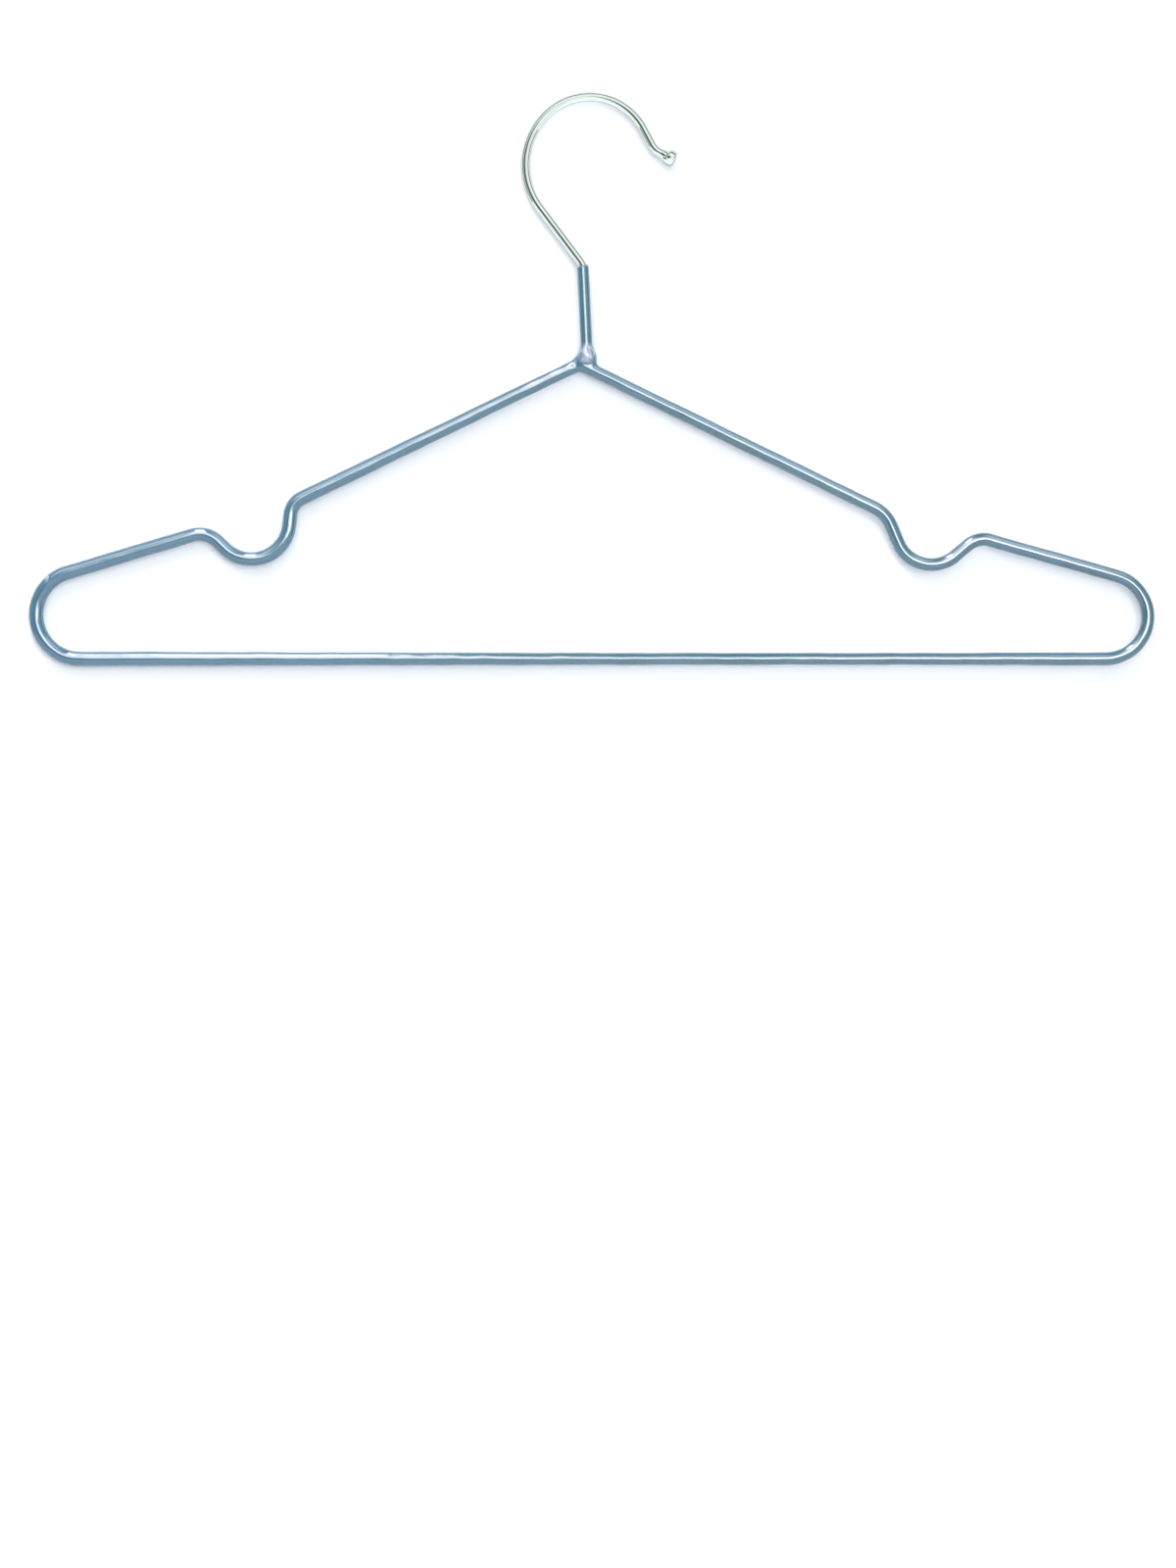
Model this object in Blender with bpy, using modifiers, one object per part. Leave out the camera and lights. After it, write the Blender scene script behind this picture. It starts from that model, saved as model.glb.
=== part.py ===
"""Trouser hanger: a notched wire loop and a ball-tipped hook, welded at the neck and dipped in plastic.

Metres, +Z up. The origin is the inside of the hook's crown, where a rail or a pin carries the hanger.
The wires lie in the XZ plane: +X runs along the bar, towards the side where the hook opens.
Run with: blender --background --python part.py
"""

import math

import bmesh
import bpy
from mathutils import Vector

# Wire and coat
WIRE_DIAMETER = 0.0032
BALL_DIAMETER = 0.0054
COAT_GAP = 0.00025
COAT_WALL = 0.0004
SLEEVE_WALL = 0.00025

# Hook, bent from the crown down to the neck. Radii are the wire centreline's.
CROWN_RADIUS = 0.022
CROWN_SWEEP = math.radians(44)
SIDE_RADIUS = 0.0252
SIDE_SWEEP = math.radians(83)
SHANK_LENGTH = 0.024
SHANK_BEND_RADIUS = 0.005
NECK_LENGTH = 0.0323
NECK_LEAN = math.radians(2.6)

# Hook, bent from the crown out to the ball
NOSE_RADIUS = 0.0215
NOSE_SWEEP = math.radians(62)
NOSE_LENGTH = 0.0066
TIP_BEND_RADIUS = 0.006
TIP_TURN = math.radians(37.5)
TIP_LENGTH = 0.0043

# Loop. The apex is the loop's highest point, and reaches run from it to the ends' centreline.
APEX_RADIUS = 0.004
BAR_DROP = 0.1045
FOOT_OFFSET = 0.0027
FOOT_GAP = 0.0003

# Loop, side where the hook opens
RIGHT_SLOPE = math.radians(26)
RIGHT_SHOULDER = 0.1147
RIGHT_CORNER_RADIUS = 0.0124
RIGHT_WALL_SLOPE = math.radians(67.5)
RIGHT_WALL = 0.0063
RIGHT_NOTCH_RADIUS = 0.013
RIGHT_RISE_SLOPE = math.radians(40)
RIGHT_RISE = 0.0061
RIGHT_CREST_RADIUS = 0.0085
RIGHT_OUTER_SLOPE = math.radians(15.7)
RIGHT_REACH = 0.2022

# Loop, other side, whose notch is bent a little closer
LEFT_SLOPE = math.radians(25.8)
LEFT_SHOULDER = 0.1078
LEFT_CORNER_RADIUS = 0.0074
LEFT_WALL_SLOPE = math.radians(83.9)
LEFT_WALL = 0.0037
LEFT_NOTCH_RADIUS = 0.0136
LEFT_RISE_SLOPE = math.radians(45)
LEFT_RISE = 0.003
LEFT_CREST_RADIUS = 0.0095
LEFT_OUTER_SLOPE = math.radians(16.7)
LEFT_REACH = 0.1934

# Weld flash round the hook's foot, and the coat's bell over it
WELD_RADIUS = 0.0028
WELD_TOE = 0.0003
WELD_HEIGHT = 0.003
WELD_SKIRT = 0.0004
BELL_WALL = 0.00055
BELL_HEIGHT = 0.0056
BELL_SHOULDER = 0.0009
SLEEVE_LENGTH = 0.0335

# Coat that pooled in the corners between the bell and the shoulders: half sizes of each lens, how far
# it is lifted off the wire, and how far from the neck it sits
POOL_LENGTH = 0.0023
POOL_WIDTH = 0.0021
POOL_HEIGHT = 0.002
POOL_LIFT = 0.0019
RIGHT_POOL_OUT = 0.0012
LEFT_POOL_OUT = 0.0031

# The dipped coat's outside along the loop, clockwise from the apex and back to it, as seen from the
# front: (share of the loop's length, share of the coat's radius). It drained towards the left.
coat_radius_shares = (
    (0.0, 1.0), (0.12, 1.02), (0.2, 1.03), (0.25, 1.0), (0.31, 1.05), (0.36, 0.95), (0.5, 0.96),
    (0.63, 1.05), (0.69, 1.14), (0.76, 1.13), (0.81, 1.08), (0.87, 1.12), (0.96, 1.03), (1.0, 1.0),
)

# Facets
ARC_STEP = math.radians(9)
WIRE_SIDES = 12
COAT_SIDES = 16
BALL_RINGS = 10
FLARE_STEPS = 6
SMOOTH_ANGLE = math.radians(35)
WELD_DISTANCE = 0.000001
MERGE_DISTANCE = 0.00001

# Sizes that follow
WIRE_RADIUS = WIRE_DIAMETER / 2
BALL_RADIUS = BALL_DIAMETER / 2
BORE_RADIUS = WIRE_RADIUS + COAT_GAP
COAT_RADIUS = BORE_RADIUS + COAT_WALL
SLEEVE_RADIUS = BORE_RADIUS + SLEEVE_WALL
WELD_BORE_RADIUS = WIRE_RADIUS + FOOT_GAP
BELL_RADIUS = WELD_RADIUS + COAT_GAP + BELL_WALL
CUT_OVERRUN = WIRE_DIAMETER

LEFTWARD = math.pi
RIGHTWARD = 0.0
NECK_HEADING = -math.pi / 2 + NECK_LEAN

COAT_BLUE = (0.174, 0.290, 0.392, 1.0)
PLATED_STEEL = (0.62, 0.66, 0.64, 1.0)
BARE_STEEL = (0.30, 0.30, 0.31, 1.0)
WELD_STEEL = (0.20, 0.20, 0.21, 1.0)


class Bender:
    """Feeds wire in the XZ plane and bends it, keeping the centreline's points."""

    def __init__(self, start, heading):
        self.points = [Vector(start)]
        self.heading = heading

    def feed(self, length):
        along = Vector((math.cos(self.heading), 0.0, math.sin(self.heading)))
        self.points.append(self.points[-1] + along * length)

    def bend(self, radius, turn):
        """Bends to a centreline radius; a positive turn is anticlockwise, seen from the front."""
        side = math.copysign(1.0, turn)
        inward = Vector((-math.sin(self.heading), 0.0, math.cos(self.heading))) * side
        centre = self.points[-1] + inward * radius
        steps = max(2, math.ceil(abs(turn) / ARC_STEP))
        for step in range(1, steps + 1):
            heading = self.heading + turn * step / steps
            outward = Vector((math.sin(heading), 0.0, -math.cos(heading))) * side
            self.points.append(centre + outward * radius)
        self.heading += turn


def hook_to_foot():
    """Centreline from the crown, round the back of the hook and down to the foot."""
    wire = Bender((0.0, 0.0, WIRE_RADIUS), LEFTWARD)
    wire.bend(CROWN_RADIUS, CROWN_SWEEP)
    wire.bend(SIDE_RADIUS, SIDE_SWEEP)
    wire.feed(SHANK_LENGTH)
    wire.bend(SHANK_BEND_RADIUS, NECK_HEADING + math.tau - wire.heading)
    wire.feed(NECK_LENGTH)
    return wire.points


def hook_to_ball():
    """Centreline from the crown, over the nose to the middle of the ball."""
    wire = Bender((0.0, 0.0, WIRE_RADIUS), RIGHTWARD)
    wire.bend(NOSE_RADIUS, -NOSE_SWEEP)
    wire.feed(NOSE_LENGTH)
    wire.bend(TIP_BEND_RADIUS, TIP_TURN)
    wire.feed(TIP_LENGTH)
    return wire.points


def end_bend(start, outer_slope, reach):
    """Length of the outer shoulder and radius of the end that land on the bar at the given reach."""
    sine = math.sin(outer_slope)
    cosine = math.cos(outer_slope)
    height = start.z + BAR_DROP
    width = reach - start.x
    scale = sine * (1 - sine) - cosine * (1 + cosine)
    length = (height * (1 - sine) - width * (1 + cosine)) / scale
    radius = (width * sine - height * cosine) / scale
    return length, radius


def loop_side(slope, shoulder, corner_radius, wall_slope, wall, notch_radius,
              rise_slope, rise, crest_radius, outer_slope, reach):
    """Centreline of one side, from the apex to the bar, bent as if it were the right-hand one."""
    wire = Bender((0.0, 0.0, 0.0), RIGHTWARD)
    wire.bend(APEX_RADIUS, -slope)
    wire.feed(shoulder)
    wire.bend(corner_radius, slope - wall_slope)
    wire.feed(wall)
    wire.bend(notch_radius, wall_slope + rise_slope)
    wire.feed(rise)
    wire.bend(crest_radius, -rise_slope - outer_slope)
    length, radius = end_bend(wire.points[-1], outer_slope, reach)
    wire.feed(length)
    wire.bend(radius, outer_slope - math.pi)
    return wire.points


def loop_points():
    """Closed centreline of the loop, from the apex round the right side, the bar and the left side."""
    right = loop_side(RIGHT_SLOPE, RIGHT_SHOULDER, RIGHT_CORNER_RADIUS, RIGHT_WALL_SLOPE, RIGHT_WALL,
                      RIGHT_NOTCH_RADIUS, RIGHT_RISE_SLOPE, RIGHT_RISE, RIGHT_CREST_RADIUS,
                      RIGHT_OUTER_SLOPE, RIGHT_REACH)
    left = loop_side(LEFT_SLOPE, LEFT_SHOULDER, LEFT_CORNER_RADIUS, LEFT_WALL_SLOPE, LEFT_WALL,
                     LEFT_NOTCH_RADIUS, LEFT_RISE_SLOPE, LEFT_RISE, LEFT_CREST_RADIUS,
                     LEFT_OUTER_SLOPE, LEFT_REACH)
    mirrored = [Vector((-point.x, 0.0, point.z)) for point in left]
    return right + mirrored[:0:-1]


def coat_swell(points):
    """Share of the coat's radius at each point of the closed loop."""
    runs = [(after - before).length for before, after in zip(points, points[1:] + points[:1])]
    total = sum(runs)
    swell = []
    travelled = 0.0
    for run in runs:
        share = travelled / total
        for (start, thin), (end, thick) in zip(coat_radius_shares, coat_radius_shares[1:]):
            if start <= share <= end:
                radius_share = thin + (thick - thin) * (share - start) / (end - start)
        swell.append(radius_share)
        travelled += run
    return swell


def above_shoulder(slope, out, lift):
    """Place lifted off the centreline, at a distance to the side of the apex, as if on the right."""
    bend_end = APEX_RADIUS * math.sin(slope)
    steepness = slope
    drop = APEX_RADIUS * (1 - math.cos(slope)) + (out - bend_end) * math.tan(slope)
    if out < bend_end:
        steepness = math.asin(out / APEX_RADIUS)
        drop = APEX_RADIUS * (1 - math.cos(steepness))
    return Vector((out + lift * math.sin(steepness), 0.0, lift * math.cos(steepness) - drop))


def last_stretch(points, length):
    """The end of a centreline, cut to a length measured back from its last point."""
    kept = [points[-1]]
    left = length
    for nearer, farther in zip(points[::-1], points[-2::-1]):
        run = (farther - nearer).length
        if run >= left:
            kept.append(nearer.lerp(farther, left / run))
            break
        kept.append(farther)
        left -= run
    return kept[::-1]


def lengthened(points, extra):
    """A centreline with its last run drawn on straight."""
    along = (points[-1] - points[-2]).normalized()
    return points[:-1] + [points[-1] + along * extra]


def apex_place(foot):
    """The apex under the foot: the foot's near edge clears the bend by the foot's gap."""
    near_edge = FOOT_OFFSET - WIRE_RADIUS
    clear = APEX_RADIUS + WIRE_RADIUS + FOOT_GAP
    rise = math.sqrt(clear ** 2 - near_edge ** 2)
    return Vector((foot.x - FOOT_OFFSET, 0.0, foot.z - rise + APEX_RADIUS))


def new_collection(name):
    collection = bpy.data.collections.new(name)
    bpy.context.scene.collection.children.link(collection)
    return collection


def clear_scene():
    for old in list(bpy.data.objects):
        bpy.data.objects.remove(old)


def finish_material(name, colour, metallic, roughness):
    material = bpy.data.materials.new(name)
    material.use_nodes = True
    shader = material.node_tree.nodes["Principled BSDF"]
    shader.inputs["Base Color"].default_value = colour
    shader.inputs["Metallic"].default_value = metallic
    shader.inputs["Roughness"].default_value = roughness
    material.diffuse_color = colour
    return material


def tube(name, points, radius, sides, collection, closed=False, swell=None):
    """A round bar along a centreline, made as a bevelled curve and kept as one welded mesh."""
    curve = bpy.data.curves.new(name + "_path", "CURVE")
    curve.dimensions = "3D"
    curve.bevel_depth = radius
    curve.bevel_resolution = sides // 2 - 2
    curve.use_fill_caps = not closed
    spline = curve.splines.new("POLY")
    spline.points.add(len(points) - 1)
    for spot, point, share in zip(spline.points, points, swell or [1.0] * len(points)):
        spot.co = (point.x, point.y, point.z, 1.0)
        spot.radius = share
    spline.use_cyclic_u = closed
    path = bpy.data.objects.new(name + "_path", curve)
    collection.objects.link(path)

    graph = bpy.context.evaluated_depsgraph_get()
    mesh = bpy.data.meshes.new_from_object(path.evaluated_get(graph))
    mesh.name = name
    work = bmesh.new()
    work.from_mesh(mesh)
    bmesh.ops.remove_doubles(work, verts=work.verts, dist=WELD_DISTANCE)
    work.to_mesh(mesh)
    work.free()
    bar = bpy.data.objects.new(name, mesh)
    bar.matrix_world = path.matrix_world
    collection.objects.link(bar)
    bpy.data.objects.remove(path)
    return bar


def turned(name, profile, sides, collection):
    """A solid turned about its own Z from an outline of (radius, height), top to bottom."""
    mesh = bpy.data.meshes.new(name)
    mesh.from_pydata([(radius, 0.0, height) for radius, height in profile],
                     [(spot, spot + 1) for spot in range(len(profile) - 1)], [])
    solid = bpy.data.objects.new(name, mesh)
    collection.objects.link(solid)
    screw = solid.modifiers.new("turn", "SCREW")
    screw.axis = "Z"
    screw.angle = math.tau
    screw.steps = sides
    screw.render_steps = sides
    screw.use_merge_vertices = True
    screw.merge_threshold = MERGE_DISTANCE
    return solid


def ball(name, centre, radii, collection):
    """A sphere, or an ellipsoid where its three radii differ."""
    mesh = bpy.data.meshes.new(name)
    work = bmesh.new()
    bmesh.ops.create_uvsphere(work, u_segments=COAT_SIDES, v_segments=BALL_RINGS, radius=1.0)
    bmesh.ops.scale(work, vec=radii, verts=work.verts)
    work.to_mesh(mesh)
    work.free()
    sphere = bpy.data.objects.new(name, mesh)
    sphere.location = centre
    collection.objects.link(sphere)
    return sphere


def as_tool(solid):
    """Marks a solid that only cuts or joins others."""
    solid.hide_render = True
    solid.display_type = "WIRE"
    return solid


def combine(solid, other, operation):
    boolean = solid.modifiers.new(other.name, "BOOLEAN")
    boolean.operation = operation
    boolean.solver = "EXACT"
    boolean.object = other


def smooth(solid):
    solid.data.shade_smooth()
    solid.data.set_sharp_from_angle(angle=SMOOTH_ANGLE)


def flare(bottom_radius, top_radius, bottom, top):
    """Outline that widens downwards in an even S, from the top radius to the bottom one."""
    outline = []
    for step in range(FLARE_STEPS + 1):
        share = step / FLARE_STEPS
        eased = share * share * (3 - 2 * share)
        radius = top_radius + (bottom_radius - top_radius) * eased
        outline.append((radius, top + (bottom - top) * share))
    return outline


def weld_profile(offset):
    """Outline of the weld flash above and round the foot, grown by an offset."""
    top = WELD_HEIGHT + offset
    bottom = -WELD_SKIRT - offset
    outline = flare(WELD_RADIUS + offset, WELD_BORE_RADIUS + WELD_TOE + offset, 0.0, top)
    return [(0.0, top)] + outline + [(WELD_RADIUS + offset, bottom), (0.0, bottom)]


def bell_profile():
    """Outline of the coat over the weld: from the sleeve out to the bell and in again under it."""
    outline = flare(BELL_RADIUS, SLEEVE_RADIUS, BELL_SHOULDER, BELL_HEIGHT)
    skirt = -WELD_SKIRT - COAT_GAP
    floor = skirt - WIRE_RADIUS
    return [(0.0, BELL_HEIGHT)] + outline + [(BELL_RADIUS, 0.0), (BELL_RADIUS - COAT_GAP, skirt),
                                             (BORE_RADIUS, floor), (0.0, floor)]


def place_at_foot(solid, foot):
    solid.location = foot
    solid.rotation_euler = (0.0, -NECK_LEAN, 0.0)


def make_hook(hook_points, parts, tools):
    hook = tube("hook_wire", hook_points, WIRE_RADIUS, WIRE_SIDES, parts)
    tip = as_tool(ball("hook_ball", hook_points[0], (BALL_RADIUS, BALL_RADIUS, BALL_RADIUS), tools))
    combine(hook, tip, "UNION")
    return hook


def make_frame(loop, apex, parts):
    frame = tube("frame_wire", loop, WIRE_RADIUS, WIRE_SIDES, parts, closed=True)
    frame.location = apex
    return frame


def make_weld(loop, apex, foot_points, parts, tools):
    weld = turned("neck_weld", weld_profile(0.0), COAT_SIDES, parts)
    place_at_foot(weld, foot_points[-1])
    foot_hole = as_tool(tube("weld_foot_hole", lengthened(foot_points, CUT_OVERRUN),
                             WELD_BORE_RADIUS, WIRE_SIDES, tools))
    saddle = as_tool(tube("weld_saddle", loop, WELD_BORE_RADIUS, WIRE_SIDES, tools, closed=True))
    saddle.location = apex
    combine(weld, foot_hole, "DIFFERENCE")
    combine(weld, saddle, "DIFFERENCE")
    return weld


def coat_pool(name, side, slope, out, apex, tools):
    """Lens of coat on one shoulder, beside the bell: side is 1 on the right and -1 on the left."""
    offset = above_shoulder(slope, out + side * FOOT_OFFSET, POOL_LIFT)
    centre = apex + Vector((side * offset.x, 0.0, offset.z))
    pool = as_tool(ball(name, centre, (POOL_LENGTH, POOL_WIDTH, POOL_HEIGHT), tools))
    pool.rotation_euler = (0.0, side * slope, 0.0)
    return pool


def make_coating(loop, apex, hook_points, parts, tools):
    foot = hook_points[-1]
    coat = tube("coating", loop, COAT_RADIUS, COAT_SIDES, parts, closed=True, swell=coat_swell(loop))
    coat.location = apex

    neck = lengthened(last_stretch(hook_points, SLEEVE_LENGTH), FOOT_GAP + WIRE_RADIUS)
    sleeve = as_tool(tube("coat_sleeve", neck, SLEEVE_RADIUS, COAT_SIDES, tools))
    bell = as_tool(turned("coat_bell", bell_profile(), COAT_SIDES, tools))
    place_at_foot(bell, foot)
    combine(coat, sleeve, "UNION")
    combine(coat, bell, "UNION")
    combine(coat, coat_pool("coat_pool_right", 1, RIGHT_SLOPE, RIGHT_POOL_OUT, apex, tools), "UNION")
    combine(coat, coat_pool("coat_pool_left", -1, LEFT_SLOPE, LEFT_POOL_OUT, apex, tools), "UNION")

    loop_bore = as_tool(tube("coat_loop_bore", loop, BORE_RADIUS, WIRE_SIDES, tools, closed=True))
    loop_bore.location = apex
    bore_run = last_stretch(hook_points, SLEEVE_LENGTH + CUT_OVERRUN)
    neck_bore = as_tool(tube("coat_neck_bore", lengthened(bore_run, FOOT_GAP + WIRE_RADIUS),
                             BORE_RADIUS, WIRE_SIDES, tools))
    weld_bore = as_tool(turned("coat_weld_bore", weld_profile(COAT_GAP), COAT_SIDES, tools))
    place_at_foot(weld_bore, foot)
    combine(coat, loop_bore, "DIFFERENCE")
    combine(coat, neck_bore, "DIFFERENCE")
    combine(coat, weld_bore, "DIFFERENCE")
    return coat


def main():
    clear_scene()
    parts = new_collection("trouser_hanger")
    tools = new_collection("cutters")

    down = hook_to_foot()
    hook_points = hook_to_ball()[:0:-1] + down
    apex = apex_place(down[-1])
    loop = loop_points()

    hook = make_hook(hook_points, parts, tools)
    frame = make_frame(loop, apex, parts)
    weld = make_weld(loop, apex, last_stretch(down, NECK_LENGTH), parts, tools)
    coat = make_coating(loop, apex, hook_points, parts, tools)

    finishes = (
        (hook, "plated_steel", PLATED_STEEL, 1.0, 0.22),
        (frame, "bare_steel", BARE_STEEL, 1.0, 0.45),
        (weld, "weld_steel", WELD_STEEL, 1.0, 0.6),
        (coat, "dipped_plastic", COAT_BLUE, 0.0, 0.25),
    )
    rail_seat = bpy.data.objects.new("rail_seat", None)
    parts.objects.link(rail_seat)
    for solid, name, colour, metallic, roughness in finishes:
        solid.data.materials.append(finish_material(name, colour, metallic, roughness))
        smooth(solid)
        solid.parent = rail_seat


main()
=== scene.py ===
"""Looks of the trouser hanger: the dipped coat with its welded neck, the plated hook, the wall behind.

Metres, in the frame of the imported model: the origin is the inside of the hook's crown, +X runs along the
bar towards the side where the hook opens, and +Z is up.
"""

import math

import bmesh
import bpy
import numpy as np
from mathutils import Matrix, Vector


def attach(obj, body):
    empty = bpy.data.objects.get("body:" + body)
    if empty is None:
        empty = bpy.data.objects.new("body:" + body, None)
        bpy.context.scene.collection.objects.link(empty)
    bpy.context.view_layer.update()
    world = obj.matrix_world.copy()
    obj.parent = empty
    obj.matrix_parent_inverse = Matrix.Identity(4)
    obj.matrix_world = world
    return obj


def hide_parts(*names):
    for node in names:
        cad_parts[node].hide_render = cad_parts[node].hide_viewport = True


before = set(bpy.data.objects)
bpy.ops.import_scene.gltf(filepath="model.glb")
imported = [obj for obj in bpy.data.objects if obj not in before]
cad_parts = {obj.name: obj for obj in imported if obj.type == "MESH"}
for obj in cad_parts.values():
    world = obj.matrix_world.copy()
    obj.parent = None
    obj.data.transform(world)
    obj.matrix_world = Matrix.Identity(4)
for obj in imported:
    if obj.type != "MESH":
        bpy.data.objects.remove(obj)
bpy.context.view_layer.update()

MM = 0.001

# Wires: radii over the metal, and centreline sizes of the hook from the crown down and out to the knob
WIRE_RADIUS = 1.6 * MM
CROWN_RADIUS = 22 * MM
CROWN_SWEEP = math.radians(44)
SIDE_RADIUS = 25.2 * MM
SIDE_SWEEP = math.radians(83)
SHANK_LENGTH = 24 * MM
SHANK_BEND_RADIUS = 5 * MM
NECK_LENGTH = 32.3 * MM
NECK_LEAN = math.radians(2.6)
NOSE_RADIUS = 21.5 * MM
NOSE_SWEEP = math.radians(62)
NOSE_LENGTH = 6.6 * MM
TIP_BEND_RADIUS = 6 * MM
TIP_TURN = math.radians(37.5)
TIP_LENGTH = 4.3 * MM

# Upset knob at the hook's end: rings as (length past its middle, radius, shift towards its upper side), and
# how far before its middle the even wire stops
knob_rings_mm = ((-3.7, 1.6, 0.0), (-3.1, 1.66, -0.05), (-2.6, 1.77, -0.15), (-2.2, 1.9, -0.27),
                 (-1.9, 2.0, -0.36), (-1.7, 2.07, -0.4), (-1.6, 2.14, -0.38), (-1.52, 2.24, -0.33),
                 (-1.4, 2.38, -0.25), (-1.2, 2.53, -0.16), (-0.9, 2.65, -0.08), (-0.5, 2.7, -0.03),
                 (0.0, 2.7, 0.0), (0.5, 2.68, 0.0), (0.9, 2.6, 0.0), (1.2, 2.45, 0.0), (1.42, 2.2, 0.0),
                 (1.56, 1.85, 0.0), (1.64, 1.4, 0.0), (1.69, 0.9, 0.0), (1.71, 0.45, 0.0), (1.72, 0.0, 0.0))
KNOB_START = 4.2 * MM

# Loop: the apex under the hook's foot, and the drop from it to the bar
APEX_RADIUS = 4 * MM
BAR_DROP = 104.5 * MM
FOOT_OFFSET = 2.7 * MM
FOOT_GAP = 0.3 * MM

# Loop sides: slopes in degrees, lengths and bend radii of the centreline
RIGHT_SIDE = dict(slope=26, shoulder=114.7 * MM, corner=12.4 * MM, wall_slope=67.5, wall=6.3 * MM,
                  notch=13 * MM, rise_slope=40, rise=6.1 * MM, crest=8.5 * MM, outer_slope=15.7,
                  reach=202.2 * MM)
LEFT_SIDE = dict(slope=25.8, shoulder=107.8 * MM, corner=7.4 * MM, wall_slope=83.9, wall=3.7 * MM,
                 notch=13.6 * MM, rise_slope=45, rise=3 * MM, crest=9.5 * MM, outer_slope=16.7,
                 reach=193.4 * MM)

# Coat: outer radius along the loop, over the weld and at the neck's lip. The tables give (share of the
# loop's length, share of the radius), (height over the foot, radius) and (depth under the lip, radius).
# The loop's radius is evened out over places a blur's share of its length to either side.
COAT_RADIUS = 2.25 * MM
COAT_WALL = 0.35 * MM
SLEEVE_LENGTH = 33.5 * MM
SWELL_BLUR = 0.012
SWELL_PLACES = 9
coat_radius_shares = ((0.0, 1.0), (0.12, 1.02), (0.2, 1.03), (0.25, 1.0), (0.31, 1.05), (0.36, 0.95),
                      (0.5, 0.96), (0.63, 1.05), (0.69, 1.14), (0.76, 1.13), (0.81, 1.08),
                      (0.87, 1.12), (0.96, 1.03), (1.0, 1.0))
bell_radii_mm = ((0.0, 3.42), (0.5, 3.5), (1.1, 3.54), (1.7, 3.47), (2.3, 3.3), (2.9, 3.05), (3.5, 2.76),
                 (4.1, 2.5), (4.7, 2.3), (5.3, 2.17), (6.0, 2.1), (7.0, 2.08))
lip_radii_mm = ((0.0, 1.64), (0.03, 1.76), (0.1, 1.9), (0.22, 2.0), (0.4, 2.07), (0.65, 2.1))

# Joint of the coat over the weld
BELL_FLOOR = 0.6 * MM
BELL_FLOOR_SLANT = 0.34
BELL_FLOOR_ROUND = 0.9 * MM
LEFT_FILLET = 2.8 * MM
RIGHT_FILLET = 0.55 * MM
FILLET_CHANGE = (-4.3 * MM, -2.5 * MM)
DRIP_DEPTH = 0.35 * MM
DRIP_LENGTH = 4 * MM
SEAM_PLACE = -1.5 * MM
SEAM_DEPTH = 0.5 * MM
SEAM_LENGTH = 0.8 * MM
JOINT_REACH = 8.5 * MM
JOINT_ROUNDS = 60
SOFT_ROUNDS = 6
SOFT_FADE = 4 * MM

# Nicks in the coat: (share of the loop's length, turn round the section, depth, length)
coat_nicks = ((0.753, -0.74, 0.35 * MM, 0.6 * MM), (0.2804, -2.46, 0.05 * MM, 0.5 * MM))
NICK_TURN = 0.45
NICK_REACH = 2 * MM

# Unevenness of the coat: (waves round the whole loop, waves round the section, phase, height)
coat_ripples = ((23, 1, 0.4, 0.035 * MM), (41, 0, 1.7, 0.02 * MM), (67, 2, 2.9, 0.018 * MM),
                (97, 1, 4.4, 0.012 * MM))

# Meshes. The neck's rows are (first and last depth under the lip, how many).
COAT_SIDES = 42
HOLE_CELLS = 14
HOLE_HALF = 3.3 * MM
FINE_STEP = 0.42 * MM
COARSE_STEP = 2 * MM
STEP_GROWTH = 6
BEND_STEP = math.radians(3.2)
sleeve_rows = (1.0 * MM, SLEEVE_LENGTH - 9 * MM, 24)
bell_rows = (SLEEVE_LENGTH - 8.4 * MM, SLEEVE_LENGTH - 1.6 * MM, 16)
HOOK_SIDES = 32
HOOK_STEP = 0.8 * MM
NOSE_STEP = 0.6 * MM

# Measuring from the centrelines: how far they are cut round the joint, and the steps
JOINT_LOOP = (-13 * MM, 16 * MM)
JOINT_NECK = 11 * MM
LINE_STEP = 0.25 * MM
PROBE_STEP = 0.01 * MM
FOOT_SEARCH = 8 * MM
FOOT_STEP = 0.1 * MM


class Route:
    """A wire's centreline in the XZ plane, kept as runs of (length, turn)."""

    def __init__(self, x, z, heading, moves, closed=False):
        self.closed = closed
        self.starts = []
        self.length = 0.0
        for length, turn in moves:
            rate = turn / length
            self.starts.append((self.length, x, z, heading, rate))
            x, z, heading = walk(x, z, heading, rate, length)
            self.length += length
        self.end = (x, z, heading)

    def at(self, lengths):
        """X, Z, heading and turn rate at each length along the route."""
        if self.closed:
            lengths = lengths % self.length
        starts = np.array(self.starts)
        run = starts[np.clip(np.searchsorted(starts[:, 0], lengths, "right") - 1, 0, None)]
        x, z, heading = walk(run[:, 1], run[:, 2], run[:, 3], run[:, 4], lengths - run[:, 0])
        return x, z, heading, run[:, 4]


def walk(x, z, heading, rate, length):
    """Where a straight (no rate) or a bend (turn per metre) ends."""
    after = heading + rate * length
    middle = heading + rate * length / 2
    chord = length * np.sinc(rate * length / math.tau)
    return x + chord * np.cos(middle), z + chord * np.sin(middle), after


def bend(radius, turn):
    return radius * abs(turn), turn


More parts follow.
